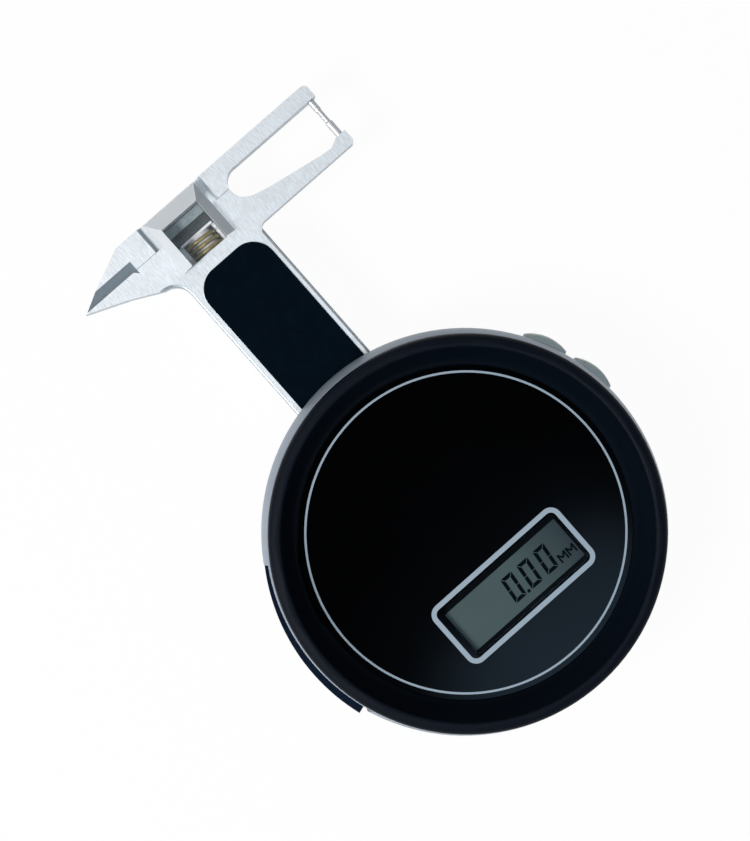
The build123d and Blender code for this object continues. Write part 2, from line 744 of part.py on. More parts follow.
def guide_blocks():
    """Brass blocks that guide the beam's two edges just inside the case."""
    made = []
    for side in (-1, 1):
        x0, x1 = sorted((side * guide_in_x, side * guide_out_x))
        one = block(x0, x1, guide_low_y, guide_high_y, plate_top_z, cap_z)
        one = chamfer(one.edges().filter_by(Axis.Z), 0.4)
        for x, y in guide_screw_places():
            one = drill(one, x, y, plate_top_z - 1, cap_z + 1, small_screw_r)
        made.append(one)
    return Compound(children=made)


def guide_cap():
    """Keeper that holds the beam down on the rail."""
    body = block(-guide_out_x, guide_out_x, guide_low_y, guide_high_y, cap_z, cap_z + guide_cap_t)
    body = chamfer(body.edges().filter_by(Axis.Z), 0.6)
    for x, y in guide_screw_places():
        body = drill(body, x, y, cap_z - 1, cap_z + guide_cap_t + 1, small_screw_r)
    return body


def guide_screws():
    top = cap_z + guide_cap_t
    made = [screw(x, y, top, floor_z + 0.3, small_screw_r, small_head_r, small_head_t, slotted=False)
            for x, y in guide_screw_places()]
    return Compound(children=made)


def head_opening(z0, z1):
    """The opening in the middle of the head, over the spring and its anchor."""
    return block(head_opening_left_x, head_opening_right_x, cover_low_y + 0.05, anchor_high_y + 0.1, z0, z1)


def upper_jaw():
    """Upper half of the head: beak with a ground edge, recess for the cover, and window arm."""
    y0 = split_y + jaw_gap / 2
    z0, z1 = rail_top_z, beam_top_z
    with BuildPart() as part:
        with BuildSketch(Plane.XY.offset(z0)):
            with BuildLine():
                Polyline((window_left_x, y0), (tip_x, y0), (brow_x, brow_y), (crown_left_x, crown_y),
                         (arm_end_x - 1.0, crown_y))
                ThreePointArc((arm_end_x - 1.0, crown_y), (arm_end_x - 0.25, crown_y - 0.3),
                              (arm_end_x, crown_y - 1.1))
                Polyline((arm_end_x, crown_y - 1.1), (arm_end_x, upper_arm_in_y),
                         (window_left_x + 3.1, upper_arm_in_y))
                ThreePointArc((window_left_x + 3.1, upper_arm_in_y), (window_left_x + 0.75, y0 + 1.3),
                              (window_left_x, y0))
            make_face()
        extrude(amount=z1 - z0)
    body = part.part
    low, high = split_y - 1, knife_y
    for flat_z, edge_z in ((z1, knife_edge_z + 0.2), (z0, knife_edge_z - 0.2)):
        side = make_face(Polyline((0, high, flat_z), (0, low, flat_z),
                                  (0, low, edge_z + (edge_z - flat_z) * 0.55), (0, y0, edge_z), close=True))
        body -= Pos(tip_x - 2, 0, 0) * extrude(side, knife_x - tip_x + 2, dir=(1, 0, 0))
    body -= head_opening(z0 - 1, z1 + 1)
    low_left, low_right = recess_left_x + recess_slope, recess_right_x - recess_slope
    recess = make_face(Polyline((recess_left_x, y0 - 1, z1 + 0.01), (low_left, y0 - 1, recess_z),
                                (low_right, y0 - 1, recess_z), (recess_right_x, y0 - 1, z1 + 0.01),
                                close=True))
    body -= extrude(recess, crown_y - y0 + 3, dir=(0, 1, 0))
    for x in cover_peg_places():
        body = drill(body, x, cover_peg_y, recess_z - cover_peg_len - 0.1, z1, cover_peg_r)
    for x, y in jaw_screw_places():
        body = drill(body, x, y, z0 - 1, recess_z - 0.6, small_screw_r)
    seat = Pos(pin_x, upper_arm_in_y, pin_z) * Rot(90, 0, 0) * Cylinder(upper_collar_r, 2 * pin_seat_depth)
    return body - seat


def cover_peg_places():
    return (cover_left_x + cover_peg_inset, cover_right_x - cover_peg_inset)


def beam_outline():
    """Outline of stem, lower jaw and lower arm, down to the tail that carries the rack."""
    y0 = split_y - jaw_gap / 2
    half = stem_w / 2
    with BuildLine() as line:
        Polyline((half, beam_full_y), (half, arm_low_y - arm_notch), (half + 0.25, arm_low_y - 0.25),
                 (half + 0.8, arm_low_y), (arm_end_x - 0.4, arm_low_y), (arm_end_x, arm_low_y + 0.4),
                 (arm_end_x, pin_seat_y), (pin_seat_x, pin_seat_y), arm_inner_corner, arm_inner[-1])
        Spline(*reversed(arm_inner), (window_left_x, y0), tangents=((-1, 0.05), (0.05, 1)))
        Polyline((window_left_x, y0), (tip_x, y0), (chin_x, chin_y), (throat_x, throat_y))
        ThreePointArc((throat_x, throat_y), (-half - 0.65, throat_end_y + 1.75), (-half, throat_end_y))
        Polyline((-half, throat_end_y), (-half, beam_low_y), (channel_left_x - 0.2, beam_low_y),
                 (channel_left_x - 0.2, beam_full_y), (half, beam_full_y))
    return line.line


def rack_cutter():
    """The spaces between the rack's teeth, cut into the beam's left edge."""
    pitch = pi * module
    half = pitch / 4 + backlash / 4
    slope = tan(radians(pressure_angle))
    out, deep = module + 0.2, 1.25 * module
    spaces = None
    first = -int((gear_y - beam_low_y - rack_spare) / pitch)
    last = int((rack_high_y - gear_y) / pitch)
    for i in range(first, last + 1):
        y = gear_y + i * pitch
        space = plate([(rack_x - out, y - half - out * slope), (rack_x + deep, y - half + deep * slope),
                       (rack_x + deep, y + half - deep * slope), (rack_x - out, y + half + out * slope)],
                      beam_bottom_z - 1, beam_top_z + 1)
        spaces = space if spaces is None else spaces + space
    return spaces


def beam():
    """Sliding stem with the lower jaw, window arm, spring channel and rack in one plate."""
    face = make_face(beam_outline())
    body = extrude(Pos(0, 0, beam_bottom_z) * face, beam_t)
    long_edges = body.edges().filter_by(Axis.Y).filter_by(lambda e: e.length > jaw_travel)
    front = [e for e in long_edges if e.center().Z > beam_top_z - 0.1 and e.center().Y > beam_full_y]
    body = chamfer(front, edge_chamfer)
    body -= block(channel_left_x, channel_right_x, channel_low_y, cover_low_y + 1,
                  beam_bottom_z - 1, beam_top_z - beam_skin_t)
    body -= block(head_opening_left_x, head_opening_right_x, cover_low_y + 0.05, split_y + 1,
                  beam_bottom_z - 1, beam_top_z + 1)
    body -= rack_cutter()
    y = hook_pin_y()
    body -= Pos(spring_x, y, hook_pin_z()) * Rot(0, 90, 0) * Cylinder(hook_pin_r, channel_w + 2.4)
    x = knife_x - relief
    notch = [(x, split_y), (knife_x, split_y - relief), (knife_x, split_y + 1), (x, split_y + 1)]
    body -= plate(notch, beam_top_z - 1.6, beam_top_z + 1)
    seat = Pos(pin_x, pin_seat_y, pin_z) * Rot(90, 0, 0) * Cylinder(lower_pin_r, 2 * pin_seat_depth)
    return body - seat


def hook_pin_y():
    return spring_low_y - hook_pin_r - 0.3


def hook_pin_z():
    return (beam_bottom_z + beam_top_z - beam_skin_t) / 2


def spring_hook_pin():
    return Pos(spring_x, hook_pin_y(), hook_pin_z()) * Rot(0, 90, 0) * Cylinder(hook_pin_r, channel_w + 2.4)


def stem_label():
    """Thin label with rounded top that covers the stem's front."""
    y_mid = (label_top_y + label_low_y) / 2
    sketch = Pos(0, y_mid, beam_top_z) * Rectangle(label_w, label_top_y - label_low_y)
    sketch = fillet(sketch.vertices().group_by(Axis.Y)[-1], label_corner_r)
    return extrude(sketch, label_t)


def upper_pin():
    """Thin contact pin with a short collar, pressed into the upper arm."""
    top = upper_arm_in_y + pin_seat_depth
    low = pin_meet_y + jaw_gap / 2
    collar = Pos(pin_x, upper_arm_in_y - upper_collar_len / 2 + pin_seat_depth / 2, pin_z) * Rot(90, 0, 0) * (
        Cylinder(upper_collar_r, upper_collar_len + pin_seat_depth))
    return collar + Pos(pin_x, (top + low) / 2, pin_z) * Rot(90, 0, 0) * Cylinder(upper_pin_r, top - low)


def lower_pin():
    """Thicker contact pin with a coned tip, pressed into the lower arm."""
    low = pin_seat_y - pin_seat_depth
    high = pin_meet_y - jaw_gap / 2
    body = Pos(pin_x, (low + high) / 2, pin_z) * Rot(90, 0, 0) * Cylinder(lower_pin_r, high - low)
    return chamfer(body.faces().sort_by(Axis.Y)[-1].edges(), 0.18)


def spring_cover():
    """Clear bevelled cover seated in the upper jaw and reaching over the lower one."""
    z0, z1 = cover_bottom_z, cover_top_z
    y0 = cover_low_y

    def frame_at(z, x0, x1, y1):
        return make_face(Polyline((x0, y0, z), (x1, y0, z), (x1, y1, z), (x0, y1, z), close=True))

    body = loft([frame_at(z0, cover_left_x, cover_right_x, cover_high_y),
                 frame_at(z1, cover_top_left_x, cover_top_right_x, cover_top_high_y)])
    body += block(cover_left_x, cover_right_x, split_y + jaw_gap, cover_high_y, recess_z, z0)
    for x in cover_peg_places():
        body += rod(x, cover_peg_y, recess_z - cover_peg_len, recess_z, cover_peg_r)
    return body


def spring_anchor():
    """Stepped steel block in the rail's groove that the spring hangs from."""
    z0 = rail_bottom_z + groove_floor_t
    top = beam_top_z - 1.2
    left, right = head_opening_left_x + 0.1, head_opening_right_x - 0.1
    body = block(channel_left_x, channel_right_x, anchor_low_y, anchor_high_y, z0, rail_top_z)
    body += block(left, right, split_y + 0.1, anchor_high_y, rail_top_z, top)
    body += block(left, right, anchor_low_y, split_y + 0.1, rail_top_z + 0.1, top - anchor_step)
    body += block(channel_left_x, channel_right_x, anchor_low_y, anchor_high_y,
                  rail_top_z - 0.1, rail_top_z + 0.2)
    y = (anchor_low_y + anchor_high_y) / 2
    return drill(body, spring_x, y, z0 - 1, z0 + 2.6, small_screw_r)


def anchor_screw():
    y = (anchor_low_y + anchor_high_y) / 2
    z0 = rail_bottom_z + groove_floor_t
    return screw(spring_x, y, rail_bottom_z, z0 + 2.5, small_screw_r, small_head_r, 0.6, down=False)


def spring_guide():
    """Pale moulded guide: a core inside the coil, and cheeks beside it in the head's opening."""
    left, right = head_opening_left_x + 0.1, head_opening_right_x - 0.1
    low = cover_low_y + 0.15
    coil_r = spring_r + spring_wire_r + 0.1
    core_low_y = spring_low_y + 1.2
    body = Pos(spring_x, (core_low_y + anchor_low_y) / 2, spring_z) * Rot(90, 0, 0) * (
        Cylinder(guide_core_r, anchor_low_y - core_low_y))
    body += block(channel_left_x + 0.05, channel_right_x - 0.05, spring_high_y, anchor_low_y,
                  rail_bottom_z + groove_floor_t + 0.05, guide_flange_z)
    cheeks = block(left, right, low, anchor_low_y, rail_top_z + 0.1, guide_top_z)
    clear = Pos(spring_x, (low + spring_high_y) / 2 - 1, spring_z) * Rot(90, 0, 0) * (
        Cylinder(coil_r, spring_high_y - low + 2))
    return body + (cheeks - clear)


def closing_spring():
    """Gold-plated coil between the guide's flange and the hook pin."""
    path = Helix(pitch=spring_pitch, height=spring_pitch * (spring_turns - 0.7), radius=spring_r)
    start = Plane(path @ 0, z_dir=path % 0)
    coil = sweep(start * RegularPolygon(1.05 * spring_wire_r, 4), path=path, is_frenet=True)
    return Pos(spring_x, spring_high_y - spring_wire_r - spring_end_gap, spring_z) * Rot(90, 0, 0) * coil


def gear_pinion():
    """Steel arbor with the pinion cut on it, turning on the fixed axle."""
    toward_lever = mesh_deg + 180
    z = wheel_z + wheel_t
    body = gear(pinion_teeth, toward_lever + 180 / pinion_teeth, z, z + pinion_t)
    body += rod(0, 0, wheel_z, z, wheel_seat_r)
    body += rod(0, 0, plate_top_z + 0.1, wheel_z, arbor_collar_r)
    body -= rod(0, 0, 0, bezel_top_z, axle_r + running_gap)
    return Pos(gear_x, gear_y, 0) * body


def gear_wheel():
    """Brass wheel with five spokes, pressed on the arbor below the pinion."""
    body = gear(wheel_teeth, 0, wheel_z, wheel_z + wheel_t)
    rim_r, hub_r = wheel_r - 1.9, 2.9
    for i in range(5):
        gap = pie(rim_r, 72 * i + 9, 72 * i + 63, wheel_z - 1, wheel_z + wheel_t + 1, steps=6)
        body -= gap & tube(0, 0, wheel_z - 1, wheel_z + wheel_t + 1, rim_r, hub_r)
    body -= rod(0, 0, 0, bezel_top_z, wheel_seat_r)
    return Pos(gear_x, gear_y, 0) * body


def gear_axle():
    top = wheel_z + wheel_t + pinion_t + 0.5
    return rod(gear_x, gear_y, floor_z, top, axle_r)


def gear_clip():
    low = wheel_z + wheel_t + pinion_t + 0.1
    return tube(gear_x, gear_y, low, low + 0.3, 1.5, axle_r)


def lever_pivot_pin():
    return rod(lever_px, lever_py, lever_pin_low_z, lever_top_z + 0.4, lever_pin_r)


def lever_clip():
    low = lever_top_z + 0.06
    return tube(lever_px, lever_py, low, low + 0.3, 1.7, lever_pin_r)


def thumb_lever():
    """Curved thumb piece, its pivot hub and the toothed sector in one moulding."""
    out_turn = -degrees(asin(lever_proud / lever_length))
    shell = pie(past_case, lever_from_deg, lever_to_deg, lever_low_z, lever_top_z, steps=12)
    outside = rod(0, 0, lever_low_z, lever_top_z, case_r)
    shell = shell & (outside - rod(0, 0, 0, bezel_top_z, case_r - lever_wall))
    heel = pie(past_case, lever_to_deg - 4.5, lever_to_deg, lever_low_z, lever_top_z, steps=2)
    shell += heel & (outside - rod(0, 0, 0, bezel_top_z, lever_heel_r - 0.2))
    shell = Pos(lever_px, lever_py) * Rot(0, 0, out_turn) * Pos(-lever_px, -lever_py) * shell
    stop = pie(past_case, lever_to_deg - 3.5, lever_to_deg + 4.5, lever_low_z, lever_top_z, steps=3)
    shell += stop & tube(0, 0, lever_low_z, lever_top_z, case_inner_r - 0.25, lever_heel_r)
    body = shell + rod(lever_px, lever_py, lever_low_z, lever_top_z, lever_hub_r)
    high = sector_low_z + sector_web_t
    pitch_deg = 360 / sector_teeth
    first = -int((lever_swing_deg + 4) / pitch_deg) - 1
    points = [polar(1.0, mesh_deg + 20)]
    for i in range(first, 3):
        tooth_deg = mesh_deg + (first + 2 - i) * pitch_deg
        points += reversed(tooth_points(sector_teeth, tooth_deg))
    points.append(polar(1.0, mesh_deg - 40))
    web = plate(points, sector_low_z, high)
    rim_r, hub_r = sector_r - 2.8, lever_hub_r + 2.2
    hole = pie(rim_r, mesh_deg - lever_swing_deg - 2, mesh_deg + 2, sector_low_z - 1, high + 1, steps=6)
    web -= hole & tube(0, 0, sector_low_z - 1, high + 1, rim_r, hub_r)
    body += Pos(lever_px, lever_py) * web
    return body - rod(lever_px, lever_py, 0, bezel_top_z, lever_pin_r + running_gap)


def battery():
    """Coin cell with its stepped negative face towards the board."""
    z = battery_z
    cup = rod(0, battery_y, z, z + battery_shoulder_t, battery_r)
    return cup + rod(0, battery_y, z, z + battery_t, battery_r - 1.2)


def battery_holder():
    """Moulded cup around the cell, riveted to the base plate."""
    body = rod(0, battery_y, plate_top_z, holder_top_z, holder_r)
    body += rod(0, battery_y, plate_top_z, plate_top_z + 0.8, holder_flange_r)
    body -= rod(0, battery_y, plate_top_z - 1, battery_z + battery_t + 0.5, battery_r + 0.3)
    body -= rod(0, battery_y, 0, bezel_top_z, holder_hole_r)
    return body - block(-holder_gap_half_w, holder_gap_half_w, battery_y + battery_r - 1,
                        battery_y + holder_flange_r + 1, 0, holder_top_z - 1.2)


def battery_contact_minus():
    """Sprung strip under the holder's roof that presses on the cell."""
    top = battery_z + battery_t + 0.5
    half = battery_r - contact_inset
    strip = block(-half, half, battery_y - contact_half_w, battery_y + contact_half_w, top - contact_t, top)
    return strip + rod(0, battery_y, battery_z + battery_t, top - contact_t / 2, dimple_r)


def battery_contact_plus():
    """Side contact in the holder's gap."""
    y = battery_y + battery_r + 0.02
    blade = block(-blade_half_w, blade_half_w, y, y + blade_t, plate_top_z + 0.15, holder_top_z - 1.3)
    return blade + block(-blade_half_w, blade_half_w, y, y + blade_foot, plate_top_z, plate_top_z + blade_t)


def battery_cover():
    """Coin-slot cover that twists and lifts off the back."""
    z0, z1 = cover_sink, cover_sink + cover_head_t
    top = floor_z + 0.75
    body = rod(0, battery_y, z0, z1, cover_r) + rod(0, battery_y, z1, battery_z - 0.05, cover_neck_r)
    body += tube(0, battery_y, z1, top, cover_neck_r, battery_r + 0.35)
    body += bayonet(0, 0, 0, floor_z + 0.07, top)
    length, width, deep = coin_slot
    body -= block(-length / 2, length / 2, battery_y - width / 2, battery_y + width / 2, z0 - 1, z0 + deep)
    return body - tube(0, battery_y, z1 - 0.3, z1 + 0.1, cover_neck_r + 0.6, cover_neck_r)


def battery_seal():
    z1 = cover_sink + cover_head_t
    return tube(0, battery_y, z1 - 0.3, z1, cover_neck_r + 0.6, cover_neck_r)


nodes = {
    "case_ring": case_ring, "bezel": bezel, "face_panel": face_panel, "display_window": display_window,
    "face_gasket": face_gasket, "lcd_module": lcd_module, "lcd_holder": lcd_holder,
    "zebra_strips": zebra_strips, "circuit_board": circuit_board, "tact_switches": tact_switches,
    "board_screws": board_screws, "back_cover": back_cover, "back_screws": back_screws,
    "base_plate": base_plate, "rear_rail": rear_rail, "rail_screws": rail_screws,
    "jaw_screws": jaw_screws, "guide_blocks": guide_blocks, "guide_cap": guide_cap,
    "guide_screws": guide_screws, "upper_jaw": upper_jaw, "upper_pin": upper_pin,
    "spring_cover": spring_cover, "spring_anchor": spring_anchor, "anchor_screw": anchor_screw,
    "spring_guide": spring_guide, "closing_spring": closing_spring,
    "lower_jaw_beam": beam, "lower_pin": lower_pin,
    "stem_label": stem_label, "spring_hook_pin": spring_hook_pin, "gear_pinion": gear_pinion,
    "gear_wheel": gear_wheel, "gear_axle": gear_axle, "gear_clip": gear_clip,
    "lever_pivot_pin": lever_pivot_pin, "lever_clip": lever_clip, "thumb_lever": thumb_lever,
    "battery": battery, "battery_holder": battery_holder, "battery_contact_minus": battery_contact_minus,
    "battery_contact_plus": battery_contact_plus, "battery_cover": battery_cover,
    "battery_seal": battery_seal,
}

os.makedirs("parts", exist_ok=True)
for name, make in nodes.items():
    export_step(make(), f"parts/{name}.step")
for number, angle in enumerate(button_angles, start=1):
    export_step(push_button(angle), f"parts/button_{number}.step")
print("lever swing", round(lever_swing_deg, 3), "deg; gear centre", round(gear_x, 4), round(gear_y, 4),
      "; lever pivot", round(lever_px, 4), round(lever_py, 4), "; mm per rad", round(travel_per_rad, 4),
      "; spring from", round(spring_low_y, 3), "to", anchor_low_y)
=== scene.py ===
# Digital gemstone caliper, lying on its back and seen from above.
# Round black-faced case with a silver ring, a steel stem with a black label, and a T-shaped head
# with a beak, a contact-pin window and a clear cover over its closing spring.
import math

import bmesh
import bpy
from mathutils import Matrix, Vector


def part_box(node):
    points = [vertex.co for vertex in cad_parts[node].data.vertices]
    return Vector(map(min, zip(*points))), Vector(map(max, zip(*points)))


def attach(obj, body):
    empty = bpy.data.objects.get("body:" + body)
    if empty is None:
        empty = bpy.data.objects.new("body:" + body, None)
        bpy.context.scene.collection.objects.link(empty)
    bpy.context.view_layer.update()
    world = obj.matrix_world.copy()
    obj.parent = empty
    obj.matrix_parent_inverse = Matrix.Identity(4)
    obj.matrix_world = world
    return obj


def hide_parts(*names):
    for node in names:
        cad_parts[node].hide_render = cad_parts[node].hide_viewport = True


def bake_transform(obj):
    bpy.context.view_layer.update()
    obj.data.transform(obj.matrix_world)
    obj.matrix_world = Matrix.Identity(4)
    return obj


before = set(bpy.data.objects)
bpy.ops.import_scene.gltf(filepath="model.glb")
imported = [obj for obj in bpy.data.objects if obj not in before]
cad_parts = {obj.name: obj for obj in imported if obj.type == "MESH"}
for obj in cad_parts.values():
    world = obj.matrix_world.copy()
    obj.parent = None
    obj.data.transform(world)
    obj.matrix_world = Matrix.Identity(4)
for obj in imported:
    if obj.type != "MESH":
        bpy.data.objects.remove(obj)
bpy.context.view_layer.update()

# Back cover
# Moulded black plastic back with a fine spark texture, held by four steel screws that pass up
# into the ring's bosses. It comes first, so the shared ways of making pieces and finishes are here.
mm = 0.001
black_moulding = (0.010, 0.012, 0.015, 1)
screw_steel = (0.62, 0.62, 0.61, 1)
wear_tone = 0.93
wear_scale = 900.0
noise_low, noise_high = 0.3, 0.7
weld_gap = 0.002 * mm
flat_angle = math.radians(0.4)
crease_angle = math.radians(32)


class Socket:
    """A shader value. Sums and products of it add Math nodes to its tree."""

    def __init__(self, nodes, link):
        self.nodes = nodes
        self.link = link

    def maths(self, operation, first, second):
        return self.nodes.node("ShaderNodeMath", {"operation": operation}, {0: first, 1: second})

    def __add__(self, other):
        return self.maths("ADD", self, other)

    def __radd__(self, other):
        return self.maths("ADD", other, self)

    def __mul__(self, other):
        return self.maths("MULTIPLY", self, other)

    def __rmul__(self, other):
        return self.maths("MULTIPLY", other, self)


class Nodes:
    """A node tree. node() adds a node from its settings and the values or links of its sockets."""

    def __init__(self, tree):
        self.tree = tree

    def feed(self, node, sockets):
        for key, value in sockets.items():
            if isinstance(value, Socket):
                self.tree.links.new(value.link, node.inputs[key])
            else:
                node.inputs[key].default_value = value

    def node(self, kind, settings, sockets, output=0):
        made = self.tree.nodes.new(kind)
        for key, value in settings.items():
            setattr(made, key, value)
        self.feed(made, sockets)
        return Socket(self, made.outputs[output])

    def place(self, scale=(1, 1, 1), turn=0.0):
        """Object coordinates, turned about Z and stretched."""
        spot = self.node("ShaderNodeTexCoord", {}, {}, "Object")
        return self.node("ShaderNodeMapping", {}, {"Vector": spot, "Rotation": (0, 0, turn), "Scale": scale})

    def noise(self, where, scale, detail=2.0, roughness=0.5):
        sockets = {"Vector": where, "Scale": scale, "Detail": detail, "Roughness": roughness}
        return self.node("ShaderNodeTexNoise", {}, sockets)

    def spread(self, value, low, high, out_low, out_high):
        """The value, moved from the range low to high into the range out_low to out_high."""
        sockets = {0: value, 1: low, 2: high, 3: out_low, 4: out_high}
        return self.node("ShaderNodeMapRange", {"clamp": True}, sockets)

    def mix(self, factor, first, second):
        return self.node("ShaderNodeMix", {"data_type": "RGBA"}, {0: factor, 6: first, 7: second}, 2)

    def bump(self, height, depth):
        return self.node("ShaderNodeBump", {}, {"Height": height, "Distance": depth})


class Finish(Nodes):
    """One material, with its surface shader."""

    def __init__(self, name, sockets):
        self.material = bpy.data.materials.new(name)
        self.material.use_nodes = True
        super().__init__(self.material.node_tree)
        self.shader = self.tree.nodes["Principled BSDF"]
        self.surface(sockets)

    def surface(self, sockets):
        self.feed(self.shader, sockets)


def toned(colour, factor):
    """The colour made lighter or darker."""
    return [min(1.0, channel * factor) for channel in colour[:3]] + [1]


def spark_texture(name, colour, grain, depth, roughness, specular, contrast=1.9):
    """Moulded plastic with a fine eroded texture and small changes of gloss and colour."""
    made = Finish(name, {"Base Color": colour, "Roughness": roughness, "Specular IOR Level": specular})
    where = made.place()
    fine = made.noise(where, 1 / grain, detail=3.0, roughness=0.6)
    patch = made.noise(where, 0.12 / grain)
    mottle = made.spread(fine * 0.7 + patch * 0.3, 0.4, 0.62, 0.0, 1.0)
    tone = made.mix(mottle, colour, toned(colour, contrast))
    gloss = made.spread(patch, noise_low, noise_high, roughness - 0.06, roughness + 0.08)
    made.surface({"Base Color": tone, "Roughness": gloss, "Normal": made.bump(fine, depth)})
    return made.material


def turned_steel(name, colour, roughness=0.28, metallic=1.0):
    """Plain machined or rolled steel with faint cloudy wear."""
    made = Finish(name, {"Base Color": colour, "Metallic": metallic, "Roughness": roughness})
    cloud = made.noise(made.place(), wear_scale, detail=3.0)
    wear = made.spread(cloud, 0.35, 0.7, 0.0, 1.0)
    made.surface({"Base Color": made.mix(wear, colour, toned(colour, wear_tone)),
                  "Roughness": made.spread(cloud, noise_low, noise_high, roughness - 0.03, roughness + 0.05)})
    return made.material


def shade(mesh, material, crease=crease_angle):
    """Smooth shading with sharp edges kept, and one material all over."""
    mesh.materials.clear()
    mesh.materials.append(material)
    mesh.polygons.foreach_set("use_smooth", [True] * len(mesh.polygons))
    mesh.set_sharp_from_angle(angle=crease)
    mesh.update()


def add_piece(bm, name, body, material, nodes=(), crease=crease_angle):
    """A finished mesh as an object, which may stand for CAD nodes and ride on a body."""
    mesh = bpy.data.meshes.new(name)
    bm.to_mesh(mesh)
    bm.free()
    shade(mesh, material, crease)
    made = bpy.data.objects.new(name, mesh)
    bpy.context.scene.collection.objects.link(made)
    if body:
        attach(made, body)
    if nodes:
        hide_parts(*nodes)
    return made


def merged(node):
    """A CAD node's triangles, joined up and with its flat faces whole."""
    bm = bmesh.new()
    bm.from_mesh(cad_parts[node].data)
    bmesh.ops.remove_doubles(bm, verts=bm.verts, dist=weld_gap)
    bmesh.ops.dissolve_limit(bm, angle_limit=flat_angle, verts=bm.verts, edges=bm.edges)
    return bm


def dress(node, name, body, material):
    """A piece that stands for one CAD node and keeps its shape."""
    return add_piece(merged(node), name, body, material, [node])


def paint_node(material, *names):
    """CAD nodes that stay as they are and only get their finish."""
    for name in names:
        shade(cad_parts[name].data, material)


back_finish = spark_texture("back_spark", black_moulding, grain=0.16 * mm, depth=0.02 * mm,
                            roughness=0.55, specular=0.25)
screw_finish = turned_steel("screw_steel", screw_steel)
dress("back_cover", "back_shell", "case", back_finish)
paint_node(screw_finish, "back_screws")

# Battery cover, cell and holder
# A moulded coin-slot cover with a rubber seal closes the cell's well. The cell sits in a moulded
# cup, riveted to the base plate, with two sprung contacts of plated strip.
rubber_black = (0.012, 0.012, 0.013, 1)
cell_metal = (0.66, 0.66, 0.64, 1)
cup_black = (0.02, 0.02, 0.022, 1)
contact_metal = (0.72, 0.68, 0.58, 1)
rubber_grain = 5000.0


def soft_rubber():
    made = Finish("seal_rubber", {"Base Color": rubber_black, "Roughness": 0.75})
    grain = made.noise(made.place(), rubber_grain)
    made.surface({"Roughness": made.spread(grain, noise_low, noise_high, 0.68, 0.85),
                  "Normal": made.bump(grain, 0.01 * mm)})
    return made.material


rubber_finish = soft_rubber()
cell_finish = turned_steel("cell_can", cell_metal, roughness=0.22)
contact_finish = turned_steel("contact_strip", contact_metal, roughness=0.3)
cup_finish = spark_texture("cup_plastic", cup_black, grain=0.2 * mm, depth=0.01 * mm,
                           roughness=0.5, specular=0.4)
dress("battery_cover", "coin_slot_cover", "cover", back_finish)
paint_node(rubber_finish, "battery_seal")
paint_node(cell_finish, "battery")
paint_node(cup_finish, "battery_holder")
paint_node(contact_finish, "battery_contact_minus", "battery_contact_plus")

# Base plate and guides
# A stamped steel plate carries the rail and the brass blocks that guide the stem's edges, and
# a keeper plate over them holds the stem down.
plate_metal = (0.55, 0.56, 0.57, 1)
brass = (0.75, 0.55, 0.24, 1)
plate_finish = turned_steel("stamped_plate", plate_metal, roughness=0.4)
brass_finish = turned_steel("turned_brass", brass, roughness=0.25)
paint_node(plate_finish, "base_plate", "guide_cap")
paint_node(brass_finish, "guide_blocks")
paint_node(screw_finish, "rail_screws", "guide_screws")

# Case ring
# Die-cast ring with a satin silver-grey coat. Its flank swells to the widest line and falls
# back under the bezel; the stem, the lever and the buttons come out through its wall.
satin_silver = (0.28, 0.33, 0.39, 1)
satin_light = (0.34, 0.39, 0.46, 1)
coat_speck, coat_cloud = 9000.0, 160.0
flank_foot_r = 29.9 * mm
flank_foot_z = 4.2 * mm
same_height = 0.01 * mm


def satin_coat():
    made = Finish("satin_coat", {"Base Color": satin_silver, "Metallic": 0.3, "Roughness": 0.42,
                                 "Specular IOR Level": 0.3})
    where = made.place()
    speck = made.noise(where, coat_speck)
    cloud = made.noise(where, coat_cloud)
    tone = made.mix(made.spread(speck * 0.6 + cloud * 0.4, 0.38, 0.62, 0.0, 1.0), satin_silver, satin_light)
    made.surface({"Base Color": tone, "Roughness": made.spread(speck, noise_low, noise_high, 0.38, 0.48),
                  "Normal": made.bump(speck, 0.004 * mm)})
    return made.material


def flush_flank():
    """The ring, with the bosses' corners near its foot laid flush with the flank."""
    bm = merged("case_ring")
    foot = [vert for vert in bm.verts if vert.co.xy.length > flank_foot_r and vert.co.z < flank_foot_z]
    for vert in foot:
        flank_r = min(near.co.xy.length for near in foot if abs(near.co.z - vert.co.z) < same_height)
        vert.co.xy = vert.co.xy * (flank_r / vert.co.xy.length)
    bmesh.ops.remove_doubles(bm, verts=bm.verts, dist=weld_gap)
    return bm


add_piece(flush_flank(), "silver_ring", "case", satin_coat(), ["case_ring"])

# Gear train
# A steel pinion and a spoked brass wheel turn as one on a fixed axle, between the lever's
# toothed sector and the rack on the stem's edge. Small clips hold wheel and lever.
axle_steel = (0.70, 0.70, 0.70, 1)
axle_finish = turned_steel("ground_steel", axle_steel, roughness=0.16)
paint_node(axle_finish, "gear_axle", "gear_pinion", "lever_pivot_pin", "gear_clip", "lever_clip")
paint_node(brass_finish, "gear_wheel")

# Circuit board
# Green glass-fibre board with two edge switches, screwed down on the ring's bosses. It shows
# only where the stem and the lever come out.
board_green = (0.02, 0.12, 0.05, 1)
switch_black = (0.02, 0.02, 0.02, 1)
board_finish = spark_texture("solder_mask", board_green, grain=0.5 * mm, depth=0.004 * mm,
                             roughness=0.3, specular=0.5)
switch_finish = spark_texture("switch_plastic", switch_black, grain=0.3 * mm, depth=0.005 * mm,
                              roughness=0.45, specular=0.4)
paint_node(board_finish, "circuit_board")
paint_node(switch_finish, "tact_switches")
paint_node(screw_finish, "board_screws")

